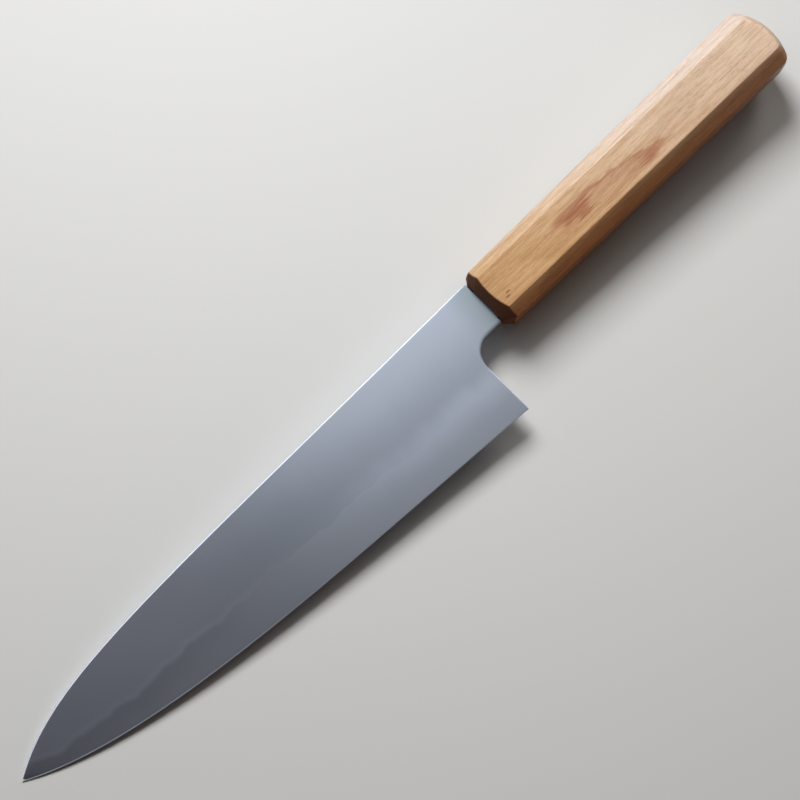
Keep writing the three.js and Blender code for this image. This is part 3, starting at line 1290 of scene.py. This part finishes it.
@dataclass
class Handle:
    """The octagonal handle: a bar that widens to a crowned butt, with a blind socket for the tang."""

    datum: Datum
    length: float = 138.0 * MM
    front_height: float = 22.5 * MM
    front_width: float = 20.5 * MM
    front_corner: float = 4.0 * MM
    butt_height: float = 25.6 * MM
    butt_width: float = 23.3 * MM
    butt_corner: float = 5.0 * MM
    nose_bevel: float = 2.55 * MM
    nose_shift: float = -1.5 * MM
    nose_inset_height: float = 2.6 * MM
    nose_inset_width: float = 5.6 * MM
    nose_ease: float = 0.4 * MM
    crown_rise: float = 3.85 * MM
    crown_shift: float = 1.5 * MM
    rim_round: float = 2.4 * MM
    crown_grain: float = 0.24
    corner_ease: float = 0.7 * MM
    socket_depth: float = 93.0 * MM
    socket_height: float = 13.3 * MM
    socket_width: float = 4.2 * MM
    nose_steps: int = 4
    side_steps: int = 16
    rim_steps: int = 8
    rim_tries: int = 6
    crown_steps: int = 14
    corner_steps: int = 4
    crease_angle: float = 60.0
    facet_shares: tuple[float, ...] = (0.03, 0.2, 0.4, 0.6, 0.8, 0.97)
    finish: OakFinish = OakFinish()

    def build(self) -> None:
        """Builds and dresses the handle."""
        rings = self.rings()
        bm = bmesh.new()
        step_of = bm.verts.layers.int.new("step")
        end_of = bm.verts.layers.float.new("end_grain_and_shade")
        first = bmesh.ops.create_circle(bm, segments=len(rings[0].points), radius=1.0)["verts"]
        for step, vert in enumerate(first):
            vert[step_of] = step
        loop = list(bm.edges)
        for number, ring in enumerate(rings):
            if number:
                grown = bmesh.ops.extrude_edge_only(bm, edges=loop)["geom"]
                loop = [item for item in grown if isinstance(item, bmesh.types.BMEdge)]
            for vert in {vert for edge in loop for vert in edge.verts}:
                vert.co = self.datum.at(*ring.points[vert[step_of]])
                vert[end_of] = ring.end_grain_and_shade
        close_seams(bm)
        crease(bm, self.crease_angle)
        bm.verts.layers.int.remove(bm.verts.layers.int["step"])
        stand_for(publish(bm, "octagonal_oak_handle", self.finish.material(self.datum)), "handle")

    def octagon(self, x: float) -> list[Vector]:
        """Draws the handle's section with eased corners.

        Args:
            x: The place along the axis.

        Returns:
            The points in order, from the side of the cutting edge upwards.
        """
        along = -x / self.length
        half_height = mix(self.front_height, self.butt_height, along) / 2
        half_width = mix(self.front_width, self.butt_width, along) / 2
        corner = mix(self.front_corner, self.butt_corner, along)
        chamfer = (half_height + half_width - corner) / math.sqrt(2)
        reach = (half_height, chamfer, half_width, chamfer)
        distances = [distance - self.corner_ease for distance in reach + reach]
        eighth = math.pi / 4
        arcs = []
        for facet, near in enumerate(distances):
            turn = facet * eighth
            beyond = distances[(facet + 1) % len(distances)]
            sideways = (beyond - near * math.cos(eighth)) / math.sin(eighth)
            centre = (
                near * math.cos(turn) - sideways * math.sin(turn),
                near * math.sin(turn) + sideways * math.cos(turn),
            )
            arc = []
            for step in range(self.corner_steps + 1):
                angle = turn + eighth * step / self.corner_steps
                y = centre[0] + self.corner_ease * math.cos(angle)
                z = centre[1] + self.corner_ease * math.sin(angle)
                arc.append(Vector((x, y, z)))
            arcs.append(arc)
        points = []
        for arc, following in zip(arcs, arcs[1:] + arcs[:1]):
            points.extend(arc)
            points.extend(arc[-1].lerp(following[0], share) for share in self.facet_shares)
        return points

    def socket(self, x: float) -> list[Vector]:
        """Draws the socket's oblong section.

        Args:
            x: The place along the axis.

        Returns:
            The points, in the order of the octagon's.
        """
        ring = []
        for point in self.octagon(0.0):
            across = point.y / self.front_height
            upwards = point.z / self.front_width
            size = max(abs(across), abs(upwards)) * 2
            ring.append(Vector((x, across / size * self.socket_height, upwards / size * self.socket_width)))
        return ring

    def rings(self) -> list[Ring]:
        """Lists the rings of the skin.

        Returns:
            The rings from the floor of the socket, over the front and the sides, to the top of the crown.
        """
        count = range(len(self.octagon(0.0)))
        face = [self.face_point(step) for step in count]
        nose = [self.nose_point(step) for step in count]
        rim = [self.rim_point(step) for step in count]
        side = [self.octagon(rim[step].x + self.rim_round)[step] for step in count]
        crown = [self.crown_point(rim[step]) for step in count]
        middle = Vector((0.0, 0.0, 0.0))
        rings = [
            Ring([Vector((-self.socket_depth, 0.0, 0.0)) for _ in count], 1.0),
            Ring(self.socket(-self.socket_depth), 1.0),
            Ring(self.socket(0.0), 1.0),
        ]
        rings.extend(self.eased([middle for _ in count], face, nose, 1.0, 1.0))
        rings.extend(self.eased(face, nose, side, 1.0, 0.0))
        start = [self.towards(nose[step], side[step]) for step in count]
        for number in range(1, self.side_steps):
            share = number / self.side_steps
            rings.append(Ring([start[step].lerp(side[step], share) for step in count], 0.0))
        for number in range(self.rim_steps + 1):
            share = number / self.rim_steps
            points = [bend(side[step], rim[step], crown[step], share) for step in count]
            rings.append(Ring(points, self.crown_grain * share))
        for number in range(1, self.crown_steps + 1):
            share = 1 - number / self.crown_steps
            points = []
            for point in crown:
                points.append(self.on_crown(mix(self.crown_shift, point.y, share), point.z * share))
            rings.append(Ring(points, self.crown_grain))
        return rings

    def eased(
        self, before: list[Vector], corner: list[Vector], after: list[Vector], start: float, end: float
    ) -> list[Ring]:
        """Lists the rings that round a sharp corner off.

        Args:
            before: The ring that the skin comes from.
            corner: The ring on the corner.
            after: The ring that the skin goes to.
            start: The share of end grain before the corner.
            end: The share of end grain after it.

        Returns:
            The rings over the corner.
        """
        rings = []
        for number in range(self.nose_steps + 1):
            share = number / self.nose_steps
            points = []
            for left, middle, right in zip(before, corner, after):
                points.append(bend(self.towards(middle, left), middle, self.towards(middle, right), share))
            rings.append(Ring(points, mix(start, end, share)))
        return rings

    def towards(self, corner: Vector, other: Vector) -> Vector:
        """Gives the point an easing's length from a corner."""
        return corner + (other - corner).normalized() * self.nose_ease

    def face_point(self, step: int) -> Vector:
        """Finds where one line of the front bevel meets the flat front face.

        Args:
            step: The number of the line.

        Returns:
            The point.
        """
        point = self.octagon(0.0)[step]
        height = 1 - 2 * self.nose_inset_height / self.front_height
        width = 1 - 2 * self.nose_inset_width / self.front_width
        return Vector((0.0, point.y * height, point.z * width))

    def nose_point(self, step: int) -> Vector:
        """Finds where one line along the side meets the front bevel, which is longer towards the corners.

        Args:
            step: The number of the line.

        Returns:
            The point.
        """
        point = self.octagon(-self.nose_bevel)[step]
        out = math.hypot(point.y - self.nose_shift, point.z) / (self.front_height / 2)
        return self.octagon(-self.nose_bevel * out * out)[step]

    def on_crown(self, y: float, z: float) -> Vector:
        """Finds a point of the crown, which is a part of a sphere.

        Args:
            y: The place from the axis towards the edge.
            z: The place upwards from the axis.

        Returns:
            The point over that place.
        """
        half = self.butt_height / 2
        radius = (half ** 2 + self.crown_rise ** 2) / (2 * self.crown_rise)
        out = min(radius, math.hypot(y - self.crown_shift, z))
        return Vector((radius - self.length - math.sqrt(radius ** 2 - out ** 2), y, z))

    def rim_point(self, step: int) -> Vector:
        """Finds where one line along the side meets the crown.

        Args:
            step: The number of the line.

        Returns:
            The point.
        """
        point = self.octagon(self.crown_rise - self.length)[step]
        for _ in range(self.rim_tries):
            point = self.octagon(self.on_crown(point.y, point.z).x)[step]
        return point

    def crown_point(self, rim: Vector) -> Vector:
        """Gives where the rounded rim runs out on the crown."""
        share = 1 - self.rim_round / math.hypot(rim.y, rim.z)
        return self.on_crown(rim.y * share, rim.z * share)


@dataclass
class TangBond:
    """The resin that holds the tang in its socket."""

    datum: Datum
    finish: ResinFinish = ResinFinish()

    def build(self) -> None:
        """Gives the resin's solid its finish."""
        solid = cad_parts["tang_adhesive"]
        solid.data.materials.clear()
        solid.data.materials.append(self.finish.material(self.datum))
        LOG.info("tang_adhesive: dressed")


@dataclass(frozen=True)
class Lamp:
    """One softbox that faces the knife."""

    name: str
    place: tuple[float, float, float]
    width: float
    height: float
    power: float
    colour: tuple[float, float, float] = (1.0, 1.0, 1.0)


@dataclass
class Studio:
    """A pale paper sweep under the knife, with softboxes round it."""

    datum: Datum
    form: BladeForm
    handle: Handle
    floor_radius: float = 2.0
    cove_radius: float = 0.6
    wall_height: float = 1.7
    sweep_steps: int = 96
    cove_steps: int = 10
    ambient: Colour = (0.03, 0.03, 0.03, 1.0)
    lit_place: float = 60.0 * MM
    lamps: tuple[Lamp, ...] = (
        Lamp("key", (-0.385, -0.747, 0.83), 0.5, 0.5, 14.9),
        Lamp("butt_light", (-0.95, -0.25, 0.42), 0.3, 0.3, 2.0, (1.0, 0.95, 0.88)),
        Lamp("overhead_panel", (-0.1, -0.113, 0.201), 0.245, 0.33, 0.148),
        Lamp("low_window", (-0.38, -1.0, 0.075), 0.5, 0.12, 1.7, (0.7, 0.84, 1.0)),
        Lamp("warm_fill", (0.1, 1.0, 0.15), 0.8, 0.3, 1.3, (1.0, 0.6, 0.36)),
    )
    paper: BackdropFinish = BackdropFinish()

    def build(self) -> None:
        """Builds the sweep, the lamps and the world."""
        self.sweep()
        for lamp in self.lamps:
            self.light(lamp)
        world = bpy.data.worlds.new("studio_air")
        world.use_nodes = True
        world.node_tree.nodes["Background"].inputs["Color"].default_value = self.ambient
        bpy.context.scene.world = world

    def resting_plane(self) -> Matrix:
        """Finds the floor on which the handle's front and the blade's tip rest.

        Returns:
            The matrix that takes a level floor there.
        """
        nose = self.handle.octagon(-self.handle.nose_bevel)
        under = self.datum.at(-self.handle.nose_bevel, 0.0, min(point.z for point in nose))
        end = self.form.tip - self.form.tip_blunt
        tip = self.datum.at(end, 0.0, -self.form.spine_half(end))
        slope = math.atan2(tip.z - under.z, tip.x - under.x)
        return Matrix.Translation(under) @ Matrix.Rotation(-slope, 4, "Y")

    def sweep(self) -> None:
        """Spins the floor, its cove and the wall round the knife."""
        bm = bmesh.new()
        profile = [(0.0, 0.0), (self.floor_radius - self.cove_radius, 0.0)]
        for step in range(1, self.cove_steps + 1):
            turn = math.pi / 2 * step / self.cove_steps
            out = self.floor_radius - self.cove_radius * (1 - math.sin(turn))
            profile.append((out, self.cove_radius * (1 - math.cos(turn))))
        profile.append((self.floor_radius, self.wall_height))
        verts = [bm.verts.new((out, 0.0, up)) for out, up in profile]
        edges = [bm.edges.new(pair) for pair in zip(verts, verts[1:])]
        bmesh.ops.spin(
            bm, geom=verts + edges, cent=(0, 0, 0), axis=(0, 0, 1), angle=math.tau, steps=self.sweep_steps,
            use_merge=True,
        )
        close_seams(bm)
        if sum(face.normal.z for face in bm.faces) < 0:
            bmesh.ops.reverse_faces(bm, faces=bm.faces)
        bmesh.ops.transform(bm, matrix=self.resting_plane(), verts=bm.verts)
        publish(bm, "paper_sweep", self.paper.material())

    def light(self, lamp: Lamp) -> None:
        """Hangs one softbox and turns it to the knife.

        Args:
            lamp: The softbox, placed from the point that it lights.
        """
        data = bpy.data.lights.new(lamp.name, "AREA")
        data.shape = "RECTANGLE"
        data.size = lamp.width
        data.size_y = lamp.height
        data.energy = lamp.power
        data.color = lamp.colour
        place = self.datum.at(self.lit_place, 0.0, 0.0) + Vector(lamp.place)
        softbox = bpy.data.objects.new(lamp.name, data)
        softbox.matrix_world = facing(place, Vector(lamp.place).normalized(), Vector((1.0, 0.0, 0.0)))
        softbox.visible_camera = False
        bpy.context.scene.collection.objects.link(softbox)


@dataclass
class PhotoCamera:
    """The camera of the photograph, over the left face, with the tip at the lower left."""

    datum: Datum
    target_x: float = 43.74 * MM
    target_y: float = 3.19 * MM
    distance: float = 808.4 * MM
    tip_lean: float = 6.339
    edge_lean: float = 6.260
    right_turn: float = 135.611
    focal_length: float = 107.28
    sensor: float = 36.0

    def build(self) -> None:
        """Makes the camera and hands it to the scene."""
        lean_x = math.tan(math.radians(self.tip_lean))
        lean_y = math.tan(math.radians(self.edge_lean))
        back = Vector((lean_x, lean_y, 1.0)).normalized()
        turn = math.radians(self.right_turn)
        right = Vector((math.cos(turn), math.sin(turn), 0.0))
        place = self.datum.at(self.target_x, self.target_y, 0.0) + back * self.distance
        data = bpy.data.cameras.new("photo_camera")
        data.sensor_width = self.sensor
        data.lens = self.focal_length
        camera = bpy.data.objects.new("photo_camera", data)
        camera.matrix_world = facing(place, back, right)
        bpy.context.scene.collection.objects.link(camera)
        bpy.context.scene.camera = camera


def main() -> None:
    """Builds the camera, the knife and its studio in order."""
    logging.basicConfig(level=logging.INFO, format="%(name)s: %(message)s")
    bpy.context.scene.view_settings.view_transform = "Standard"
    datum = Datum.from_frame()
    PhotoCamera(datum).build()
    blade = Blade(datum)
    blade.build()
    handle = Handle(datum)
    handle.build()
    TangBond(datum).build()
    Studio(datum, blade.form, handle).build()


if __name__ == "__main__":
    main()
